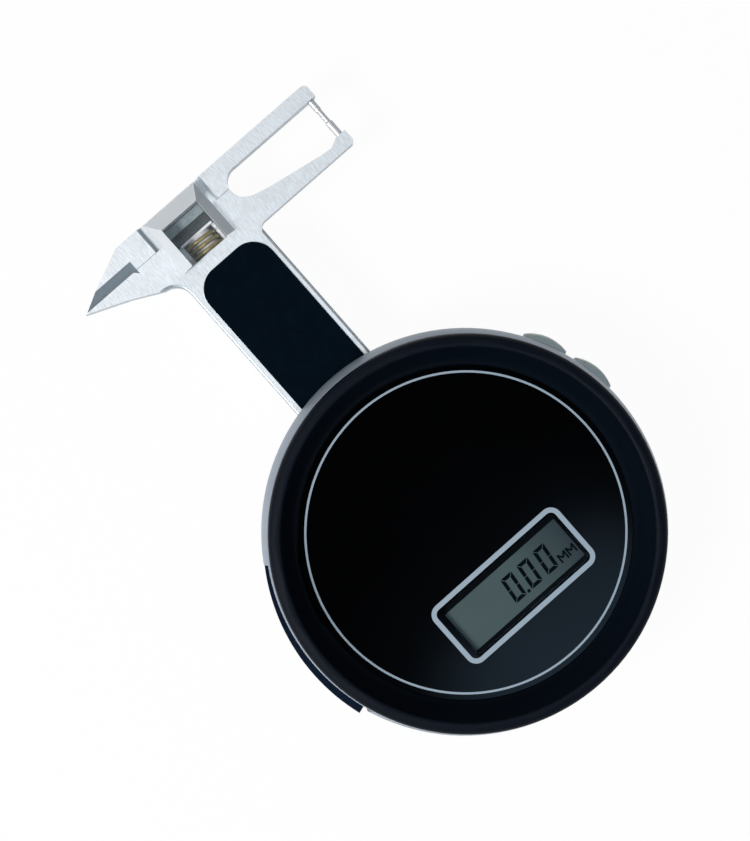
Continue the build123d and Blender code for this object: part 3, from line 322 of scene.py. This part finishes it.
# Face panel
# Glossy black panel with a printed thin ring and a printed frame round the display's opening.
# The print is a thin raised layer of pale grey ink.
gloss_black = (0.0002, 0.0003, 0.0005, 1)
ink_grey = (0.31, 0.38, 0.44, 1)
ink_contrast = 1.1
ink_speck = 6000.0
face_cloud = 60.0
ring_steps = 256
corner_steps = 8
ring_print_r = 25.15 * mm
ring_print_w = 0.34 * mm
frame_print_w = 0.8 * mm
frame_print_left = -13.03 * mm
frame_print_corner = 1.85 * mm
ink_t = 0.02 * mm
face_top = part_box("face_panel")[1][2]
pane_low, pane_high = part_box("display_window")


def glossy_face():
    made = Finish("gloss_face", {"Base Color": gloss_black, "Roughness": 0.12, "Specular IOR Level": 0.03})
    cloud = made.noise(made.place(), face_cloud)
    made.surface({"Roughness": made.spread(cloud, noise_low, noise_high, 0.1, 0.14)})
    return made.material


def printed_ink():
    made = Finish("printed_ink", {"Base Color": ink_grey, "Roughness": 0.5})
    speck = made.spread(made.noise(made.place(), ink_speck), 0.35, 0.65, 0.0, 1.0)
    made.surface({"Base Color": made.mix(speck, ink_grey, toned(ink_grey, ink_contrast))})
    return made.material


def flat_border(x0, x1, y0, y1, width, corner=0.0):
    """A flat frame of one width inside the given outline, whose corners may be round."""
    bm = bmesh.new()
    outline = bmesh.ops.create_grid(bm, x_segments=1, y_segments=1, size=0.5)["verts"]
    middle = Matrix.Translation(((x0 + x1) / 2, (y0 + y1) / 2, 0))
    bmesh.ops.transform(bm, matrix=middle @ Matrix.Diagonal((x1 - x0, y1 - y0, 1, 1)), verts=outline)
    if corner:
        bmesh.ops.bevel(bm, geom=outline, offset=corner, segments=corner_steps, profile=0.5,
                        affect="VERTICES", material=-1)
    edge = bmesh.ops.inset_region(bm, faces=bm.faces[:], thickness=width, use_even_offset=True,
                                  use_boundary=True)["faces"]
    bmesh.ops.delete(bm, geom=[f for f in bm.faces if f not in set(edge)], context="FACES_ONLY")
    return bm


def raise_sheet(bm, depth, z):
    """Gives flat faces a thickness and sets them at a height."""
    raised = bmesh.ops.extrude_face_region(bm, geom=bm.faces[:])["geom"]
    bmesh.ops.translate(bm, vec=(0, 0, depth), verts=[v for v in raised if isinstance(v, bmesh.types.BMVert)])
    bmesh.ops.translate(bm, vec=(0, 0, z), verts=bm.verts)
    bmesh.ops.recalc_face_normals(bm, faces=bm.faces)
    return bm


def printed_frame():
    bm = flat_border(frame_print_left, pane_high[0] + frame_print_w, pane_low[1] - frame_print_w,
                     pane_high[1] + frame_print_w, frame_print_w, frame_print_corner)
    return raise_sheet(bm, ink_t, face_top)


def spun(points):
    """A closed ring turned about Z from (r, z) points."""
    bm = bmesh.new()
    verts = [bm.verts.new((r, 0, z)) for r, z in points]
    edges = [bm.edges.new((a, b)) for a, b in zip(verts, verts[1:] + verts[:1])]
    bmesh.ops.spin(bm, geom=verts + edges, cent=(0, 0, 0), axis=(0, 0, 1), angle=math.tau,
                   steps=ring_steps, use_merge=True)
    bmesh.ops.remove_doubles(bm, verts=bm.verts, dist=weld_gap)
    bmesh.ops.recalc_face_normals(bm, faces=bm.faces)
    return bm


def printed_ring():
    low, high = ring_print_r - ring_print_w / 2, ring_print_r + ring_print_w / 2
    top = face_top + ink_t
    return spun([(low, face_top), (high, face_top), (high, top), (low, top)])


ink_finish = printed_ink()
paint_node(glossy_face(), "face_panel")
add_piece(printed_ring(), "printed_ring", "case", ink_finish)
add_piece(printed_frame(), "printed_frame", "case", ink_finish)

# Display
# Grey-green display glass behind a clear pane, set on the circuit board by a moulded frame with
# rubber contact strips. The lit characters are dark slanted segments: three noughts with a
# decimal point, and the small unit letters.
lcd_grey_green = (0.068, 0.104, 0.104, 1)
lcd_deep = (0.058, 0.092, 0.092, 1)
# Darker tone for the glass's right end: painted shade, for the display dimming at a slant.
lcd_end_shade = (0.020, 0.034, 0.038, 1)
far_end_from, far_end_to = 2 * mm, 12 * mm
glass_speck, glass_drift = 7000.0, 45.0
pane_tint = (0.01, 0.012, 0.014, 1)
pane_haze = 120.0
mask_black = (0.001, 0.002, 0.003, 1)
segment_black = (0.0005, 0.002, 0.004, 1)
digit_count = 3
digit_left = -1.53 * mm
digit_low = -13.82 * mm
digit_h = 4.55 * mm
digit_w = 2.37 * mm
digit_pitch = 3.35 * mm
stroke_w = 0.72 * mm
stroke_gap = 0.12 * mm
point_w = 0.5 * mm
slant = math.radians(6.2)
unit_left, unit_right = 8.3 * mm, 11.25 * mm
unit_low, unit_high = -13.85 * mm, -12.35 * mm
unit_stroke = 0.3 * mm
letter_share = 0.42
dip_share = 0.4
mask_left, mask_right = -11.45 * mm, 11.7 * mm
mask_low, mask_high = -15.15 * mm, -7.6 * mm
mask_w = 1.6 * mm
mask_t = 0.1 * mm
lcd_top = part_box("lcd_module")[1][2]


def lcd_glass():
    made = Finish("lcd_glass", {"Base Color": lcd_grey_green, "Roughness": 0.45, "Specular IOR Level": 0.3})
    where = made.place()
    speck = made.noise(where, glass_speck)
    drift = made.noise(where, glass_drift, detail=1.0)
    tone = made.mix(made.spread(speck * 0.4 + drift * 0.6, 0.4, 0.6, 0.0, 1.0), lcd_grey_green, lcd_deep)
    # The glass is painted darker towards its right end: painted shade, as the display looks dimmer at a
    # slant.
    across = made.node("ShaderNodeSeparateXYZ", {}, {0: where}, "X")
    painted_end_shade = made.spread(across, far_end_from, far_end_to, 0.0, 1.0)
    made.surface({"Base Color": made.mix(painted_end_shade, tone, lcd_end_shade)})
    return made.material


def clear_pane():
    made = Finish("clear_pane", {"Base Color": pane_tint, "Roughness": 0.06, "Specular IOR Level": 0.03})
    haze = made.noise(made.place(), pane_haze)
    made.surface({"Alpha": made.spread(haze, noise_low, noise_high, 0.03, 0.05)})
    return made.material


def stroke(bm, start, end, width):
    """A flat bar with square ends."""
    run = Vector(end) - Vector(start)
    bar = bmesh.ops.create_grid(bm, x_segments=1, y_segments=1, size=0.5)["verts"]
    bmesh.ops.transform(bm, matrix=Matrix.Diagonal((run.length, width, 1, 1)), verts=bar)
    middle = (Vector(start) + Vector(end)) / 2
    turn = Matrix.Rotation(math.atan2(run.y, run.x), 4, "Z")
    bmesh.ops.transform(bm, matrix=Matrix.Translation((middle.x, middle.y, 0)) @ turn, verts=bar)


def nought():
    """The six outer segments of a seven-segment digit, mitred where they meet."""
    bm = flat_border(0, digit_w, 0, digit_h, stroke_w)
    bmesh.ops.bisect_plane(bm, geom=bm.verts[:] + bm.edges[:] + bm.faces[:], plane_co=(0, digit_h / 2, 0),
                           plane_no=(0, 1, 0))
    segments = bm.faces[:]
    bmesh.ops.inset_individual(bm, faces=segments, thickness=stroke_gap / 2, use_even_offset=True)
    bmesh.ops.delete(bm, geom=[f for f in bm.faces if f not in set(segments)], context="FACES")
    return bm


def display_characters():
    bm = bmesh.new()
    one = bpy.data.meshes.new("nought")
    shape = nought()
    shape.to_mesh(one)
    shape.free()
    for number in range(digit_count):
        before = set(bm.verts)
        bm.from_mesh(one)
        added = [v for v in bm.verts if v not in before]
        bmesh.ops.translate(bm, vec=(number * digit_pitch, 0, 0), verts=added)
    bpy.data.meshes.remove(one)
    point = (digit_w + digit_pitch) / 2
    stroke(bm, (point - point_w / 2, point_w / 2), (point + point_w / 2, point_w / 2), point_w)
    lean = Matrix.Identity(4)
    lean[0][1] = math.tan(slant)
    bmesh.ops.transform(bm, matrix=Matrix.Translation((digit_left, digit_low, 0)) @ lean, verts=bm.verts)
    width = (unit_right - unit_left) * letter_share
    dip = unit_low + (unit_high - unit_low) * dip_share
    for left in (unit_left, unit_right - width):
        right = left + width
        middle = (left + right) / 2
        for start, end in (((left, unit_low), (left, unit_high)), ((left, unit_high), (middle, dip)),
                           ((middle, dip), (right, unit_high)), ((right, unit_high), (right, unit_low))):
            stroke(bm, start, end, unit_stroke)
    return raise_sheet(bm, ink_t, lcd_top)


def display_mask():
    """A black printed border on the display glass, whose outer part the window's edge hides."""
    bm = flat_border(mask_left - mask_w, mask_right + mask_w, mask_low - mask_w, mask_high + mask_w, mask_w)
    return raise_sheet(bm, mask_t, lcd_top)


paint_node(lcd_glass(), "lcd_module")
paint_node(clear_pane(), "display_window")
paint_node(cup_finish, "lcd_holder")
paint_node(rubber_finish, "zebra_strips")
segment_finish = spark_texture("lcd_segments", segment_black, grain=0.2 * mm, depth=0.001 * mm,
                               roughness=0.5, specular=0.02)
mask_finish = spark_texture("mask_print", mask_black, grain=0.2 * mm, depth=0.001 * mm,
                            roughness=0.6, specular=0.03)
add_piece(display_characters(), "display_characters", "case", segment_finish)
add_piece(display_mask(), "display_mask", "case", mask_finish)

# Bezel
# Moulded black bezel with a spark-textured land and a smoother two-step slope down to the face.
# Its spigot fits in the silver ring, and a thin gasket lies between it and the face panel.
bezel_black = (0.0009, 0.0024, 0.0058, 1)
slope_black = (0.0018, 0.0040, 0.0078, 1)
land_contrast = 2.2
land_grain = 5200.0
slope_end_r = 28.8 * mm
land_start_r = 29.0 * mm


def bezel_plastic():
    made = Finish("bezel_plastic", {"Base Color": bezel_black, "Roughness": 0.5, "Specular IOR Level": 0.12})
    where = made.place()
    fine = made.noise(where, land_grain, detail=3.0, roughness=0.65)
    level = made.node("ShaderNodeVectorMath", {"operation": "MULTIPLY"}, {0: where, 1: (1, 1, 0)})
    radius = made.node("ShaderNodeVectorMath", {"operation": "LENGTH"}, {0: level}, "Value")
    land = made.spread(radius, slope_end_r, land_start_r, 0.0, 1.0)
    speck = made.spread(fine, 0.42, 0.62, 0.0, 1.0)
    grain = made.mix(speck, bezel_black, toned(bezel_black, land_contrast))
    made.surface({"Base Color": made.mix(land, slope_black, grain),
                  "Roughness": made.spread(land, 0.0, 1.0, 0.36, 0.6),
                  "Normal": made.bump(fine * land, 0.03 * mm)})
    return made.material


dress("bezel", "front_bezel", "case", bezel_plastic())
paint_node(rubber_finish, "face_gasket")

# Thumb lever
# Black moulded lever: a curved thumb piece in the ring's side, whose hub and toothed sector
# turn on a steel pin inside.
lever_black = (0.0010, 0.0045, 0.0125, 1)
lever_finish = spark_texture("lever_plastic", lever_black, grain=0.22 * mm, depth=0.006 * mm,
                             roughness=0.38, specular=0.06)
dress("thumb_lever", "thumb_piece", "lever", lever_finish)

# Push buttons
# Two domed light-grey buttons beside each other in the ring's wall. Each is moulded with a
# flange that keeps it in, and presses on a switch of the board.
button_grey = (0.58, 0.63, 0.60, 1)
button_finish = spark_texture("button_plastic", button_grey, grain=0.35 * mm, depth=0.001 * mm,
                              roughness=0.42, specular=0.4, contrast=1.08)
for number in (1, 2):
    dress(f"button_{number}", f"soft_button_{number}", f"push_button_{number}", button_finish)

# Head and stem
# Stainless plate, ground flat and brushed across the head in short strokes, with broken edges
# and the beak's flat ground to a knife edge. The upper jaw is screwed to a rail of the same
# stock, and the lower jaw and the stem are one plate that slides in front of it.
head_steel = (0.88, 0.91, 0.93, 1)
# Darker steel for the faces that aren't flat: painted shade.
edge_shade_steel = (0.50, 0.56, 0.60, 1)
flat_limit = 0.97
stroke_turn = math.radians(-7)
grain_dark, grain_light = 0.80, 1.08
long_stroke, fine_stroke = (5200, 620, 3000), (9000, 1500, 5000)
plate_cloud = 240.0
edge_break = 0.08 * mm
sharp_angle = math.radians(30)


def brushed_plate():
    made = Finish("brushed_plate", {"Base Color": head_steel, "Metallic": 0.5, "Roughness": 0.56})
    long_grain = made.noise(made.place(long_stroke, stroke_turn), 1.0, detail=3.0, roughness=0.62)
    fine_grain = made.noise(made.place(fine_stroke, stroke_turn * 2), 1.0)
    cloud = made.noise(made.place(), plate_cloud)
    grain = long_grain * 0.55 + fine_grain * 0.3 + cloud * 0.15
    dark, light = toned(head_steel, grain_dark), toned(head_steel, grain_light)
    made.surface({"Base Color": made.mix(made.spread(grain, 0.38, 0.62, 0.0, 1.0), dark, light),
                  "Roughness": made.spread(grain, 0.35, 0.65, 0.64, 0.5),
                  "Normal": made.bump(grain, 0.004 * mm)})
    return made.material


def broken_edges(node):
    """A CAD node's shape with its sharp edges rounded, as tumbling leaves them."""
    bm = merged(node)
    sharp = [edge for edge in bm.edges
             if len(edge.link_faces) == 2 and edge.calc_face_angle(0) > sharp_angle]
    bmesh.ops.bevel(bm, geom=sharp, offset=edge_break, segments=2, profile=0.5, affect="EDGES",
                    clamp_overlap=True, material=-1)
    return bm


def even_flats(piece):
    """Lets the large flat faces set the shading of the small rounded edges beside them."""
    piece.modifiers.new("even_flats", "WEIGHTED_NORMAL").keep_sharp = True


head_finish = brushed_plate()
edge_shade_finish = turned_steel("ground_edge_shade", edge_shade_steel, roughness=0.4, metallic=0.5)
rail_shape = broken_edges("rear_rail")
upper_shape = broken_edges("upper_jaw")
lower_shape = merged("lower_jaw_beam")
for bm, name, body, node in ((rail_shape, "rear_rail_bar", "case", "rear_rail"),
                             (upper_shape, "upper_jaw_plate", "case", "upper_jaw"),
                             (lower_shape, "lower_jaw_plate", "jaw", "lower_jaw_beam")):
    plate = add_piece(bm, name, body, head_finish, [node])
    # Faces that aren't flat (sides, broken edges and the knife's facet) get a darker steel on a ground
    # finish: painted shade of faces turned from the light.
    plate.data.materials.append(edge_shade_finish)
    for face in plate.data.polygons:
        face.material_index = int(abs(face.normal.z) < flat_limit)
    even_flats(plate)
paint_node(screw_finish, "jaw_screws")

# Stem label
# Thin black polyester label with a rounded top end and a faint grain, stuck on the stem's
# front face.
label_black = (0.0006, 0.0030, 0.0060, 1)
label_finish = spark_texture("label_film", label_black, grain=0.2 * mm, depth=0.004 * mm,
                             roughness=0.55, specular=0.02)
paint_node(label_finish, "stem_label")

# Contact pins
# Two hardened, polished steel pins pressed into the window's arms. The upper is thinner and has
# a short collar, and the lower has a coned tip.
pin_chrome = (0.80, 0.80, 0.82, 1)
pin_finish = turned_steel("polished_pin", pin_chrome, roughness=0.34, metallic=0.4)
dress("upper_pin", "upper_contact", "case", pin_finish)
dress("lower_pin", "lower_contact", "jaw", pin_finish)

# Closing spring and anchor
# A gold-plated coil runs round a pale moulded guide, from a stepped steel anchor block down to
# a pin in the stem. The real spring stretches as the jaw opens, but this coil is one fixed shape.
# The anchor is screwed down in the rail's groove.
gold = (0.48, 0.38, 0.14, 1)
anchor_grey = (0.23, 0.275, 0.285, 1)
# Darker copy of the anchor's steel for its lower step: painted shade.
anchor_step_shade = (0.042, 0.050, 0.053, 1)
pale_moulding = (0.84, 0.82, 0.83, 1)
wire_r = 0.35 * mm
coil_pitch = 1.0 * mm
wire_sides = 10
coil_sides = 28
coil_crease = math.radians(60)
gold_wear = 0.6
gold_cloud = 2600.0
shoulder_depth = 0.3 * mm
spring_low, spring_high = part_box("closing_spring")


def gold_wire():
    made = Finish("gold_wire", {"Base Color": gold, "Metallic": 0.6, "Roughness": 0.38})
    wear = made.spread(made.noise(made.place(), gold_cloud), 0.4, 0.65, 0.0, 1.0)
    made.surface({"Base Color": made.mix(wear, gold, toned(gold, gold_wear))})
    return made.material


def coil():
    """A round wire wound about the stem's line by one long screw motion."""
    middle_x = (spring_low[0] + spring_high[0]) / 2
    middle_z = (spring_low[2] + spring_high[2]) / 2
    coil_r = (spring_high[2] - spring_low[2]) / 2 - wire_r
    top = spring_high[1] - wire_r
    turns = round((top - spring_low[1]) / coil_pitch)
    pitch = (top - wire_r - spring_low[1]) / turns
    steps = turns * coil_sides
    bm = bmesh.new()
    circle = bmesh.ops.create_circle(bm, segments=wire_sides, radius=wire_r, cap_ends=False)["verts"]
    start = Matrix.Translation((middle_x, top, middle_z - coil_r)) @ Matrix.Rotation(math.pi / 2, 4, "Y")
    bmesh.ops.transform(bm, matrix=start, verts=circle)
    bmesh.ops.spin(bm, geom=bm.verts[:] + bm.edges[:], cent=(middle_x, 0, middle_z), axis=(0, 1, 0),
                   dvec=(0, -pitch / coil_sides, 0), angle=math.tau * turns, steps=steps)
    bmesh.ops.holes_fill(bm, edges=[edge for edge in bm.edges if edge.is_boundary], sides=wire_sides)
    bmesh.ops.recalc_face_normals(bm, faces=bm.faces)
    return bm


spring = add_piece(coil(), "closing_coil", None, gold_wire(), ["closing_spring"],
                   coil_crease)
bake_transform(spring)
anchor_finish = spark_texture("anchor_steel", anchor_grey, grain=0.26 * mm, depth=0.003 * mm,
                              roughness=0.5, specular=0.3, contrast=1.5)
shoulder_shade_finish = spark_texture("anchor_shoulder_shade", anchor_step_shade, grain=0.26 * mm, depth=0.003 * mm,
                                roughness=0.5, specular=0.3, contrast=2.0)
guide_finish = spark_texture("guide_moulding", pale_moulding, grain=0.4 * mm, depth=0.002 * mm,
                             roughness=0.45, specular=0.35, contrast=1.15)
anchor = dress("spring_anchor", "anchor_block", "case", anchor_finish)
# The anchor's lower step gets a darker copy of its steel: painted shade of the deeper step under the cover.
anchor.data.materials.append(shoulder_shade_finish)
anchor_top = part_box("spring_anchor")[1][2]
for face in anchor.data.polygons:
    if face.center.z < anchor_top - shoulder_depth:
        face.material_index = 1
paint_node(guide_finish, "spring_guide")
paint_node(axle_finish, "spring_hook_pin")
paint_node(screw_finish, "anchor_screw")

# Clear cover
# Clear moulded cover over the spring, with a polished top and softly frosted slopes on three
# sides, pegged into the upper jaw.
clear_tint = (0.68, 0.71, 0.73, 1)
slope_least, slope_most = 0.3, 0.9
cover_haze = 500.0
haze_swing = 0.02


def clear_plastic(name, alpha, roughness):
    made = Finish(name, {"Base Color": clear_tint, "Roughness": roughness})
    haze = made.noise(made.place(), cover_haze)
    made.surface({"Alpha": made.spread(haze, noise_low, noise_high, alpha - haze_swing, alpha + haze_swing)})
    return made.material


top_finish = clear_plastic("clear_top", alpha=0.04, roughness=0.08)
slope_finish = clear_plastic("frosted_slope", alpha=0.94, roughness=0.35)
cover = dress("spring_cover", "clear_cover", "case", top_finish)
cover.data.materials.append(slope_finish)
for face in cover.data.polygons:
    if slope_least < face.normal.z < slope_most:
        face.material_index = 1

# Studio
# Plain white ground with a soft key lamp on the left, two weak lamps at the head and the foot,
# and the camera almost straight above.
camera_at = Vector((-6.789, 35.225, 298.3)) * mm
camera_tilt = (math.radians(2.5517), math.radians(1.5416), math.radians(41.360))
focal_px = 1824.5
picture_h_px = 841
sensor_h = 24.0
near_clip = 10 * mm
ground_half = 2.0
ground_gap = 0.05 * mm
ground_grey = (0.85, 0.85, 0.85, 1)
plain_share = 0.96
horizon_light, zenith_light = 0.1, 0.22
zenith_height = 0.85
lamp_target = Vector((0, 20, 10)) * mm
cool_light = (0.55, 0.88, 1.25)
ground = bmesh.new()
bmesh.ops.create_grid(ground, x_segments=1, y_segments=1, size=ground_half)
bmesh.ops.translate(ground, vec=(0, 0, -ground_gap), verts=ground.verts)
ground_mesh = bpy.data.meshes.new("ground")
ground.to_mesh(ground_mesh)
ground.free()
ground_object = bpy.data.objects.new("ground", ground_mesh)
bpy.context.scene.collection.objects.link(ground_object)


def ray(nodes, kind):
    """One where a ray is of this kind, else nought."""
    return nodes.node("ShaderNodeLightPath", {}, {}, f"Is {kind} Ray")


def seen_directly(nodes):
    """One where a ray comes from the camera, a reflection or clear material, else nought."""
    total = ray(nodes, "Camera") + ray(nodes, "Glossy") + ray(nodes, "Transmission")
    return nodes.node("ShaderNodeMath", {"operation": "MINIMUM"}, {0: total, 1: 1.0})


ground_finish = Finish("white_ground", {"Base Color": ground_grey, "Roughness": 0.9})
glow = ground_finish.node("ShaderNodeEmission", {}, {"Color": (1, 1, 1, 1), "Strength": 1.0})
lit_ground = Socket(ground_finish, ground_finish.shader.outputs[0])
blend = ground_finish.node("ShaderNodeMixShader", {},
                           {0: seen_directly(ground_finish) * plain_share, 1: lit_ground, 2: glow})
ground_finish.tree.links.new(blend.link, ground_finish.tree.nodes["Material Output"].inputs["Surface"])
ground_mesh.materials.append(ground_finish.material)

world = bpy.data.worlds.new("studio")
bpy.context.scene.world = world
world.use_nodes = True
sky = Nodes(world.node_tree)
skyward = sky.node("ShaderNodeTexCoord", {}, {}, "Generated")
height = sky.node("ShaderNodeSeparateXYZ", {}, {0: skyward}, "Z")
dome = sky.spread(height, 0.0, zenith_height, horizon_light, zenith_light)
plain = ray(sky, "Camera") + ray(sky, "Transmission")
strength = sky.node("ShaderNodeMath", {"operation": "MAXIMUM"}, {0: plain, 1: dome})
sky.feed(sky.tree.nodes["Background"], {"Color": (1, 1, 1, 1), "Strength": strength})


def softbox(name, azimuth, elevation, distance, size, power, colour=(1, 1, 1)):
    lamp = bpy.data.lights.new(name, "AREA")
    lamp.size = size
    lamp.energy = power
    lamp.color = colour
    made = bpy.data.objects.new(name, lamp)
    bpy.context.scene.collection.objects.link(made)
    turn, lift = math.radians(azimuth), math.radians(elevation)
    away = Vector((math.cos(lift) * math.cos(turn), math.cos(lift) * math.sin(turn), math.sin(lift)))
    made.location = lamp_target + away * distance
    made.rotation_euler = away.to_track_quat("Z", "Y").to_euler()


softbox("key_lamp", azimuth=172, elevation=50, distance=0.7, size=0.2, power=3.9)
softbox("top_lamp", azimuth=95, elevation=50, distance=0.8, size=0.3, power=0.5)
softbox("fill_lamp", azimuth=-85, elevation=73, distance=0.8, size=0.14, power=0.6, colour=cool_light)

camera_data = bpy.data.cameras.new("camera")
camera_data.sensor_fit = "VERTICAL"
camera_data.sensor_height = sensor_h
camera_data.lens = focal_px / picture_h_px * sensor_h
camera_data.clip_start = near_clip
camera = bpy.data.objects.new("camera", camera_data)
bpy.context.scene.collection.objects.link(camera)
world_to_camera = (Matrix.Rotation(camera_tilt[2], 4, "Z") @ Matrix.Rotation(camera_tilt[0], 4, "X")
                   @ Matrix.Rotation(camera_tilt[1], 4, "Y"))
camera.matrix_world = Matrix.Translation(camera_at) @ world_to_camera.transposed()
bpy.context.scene.camera = camera
bpy.context.scene.view_settings.view_transform = "Standard"
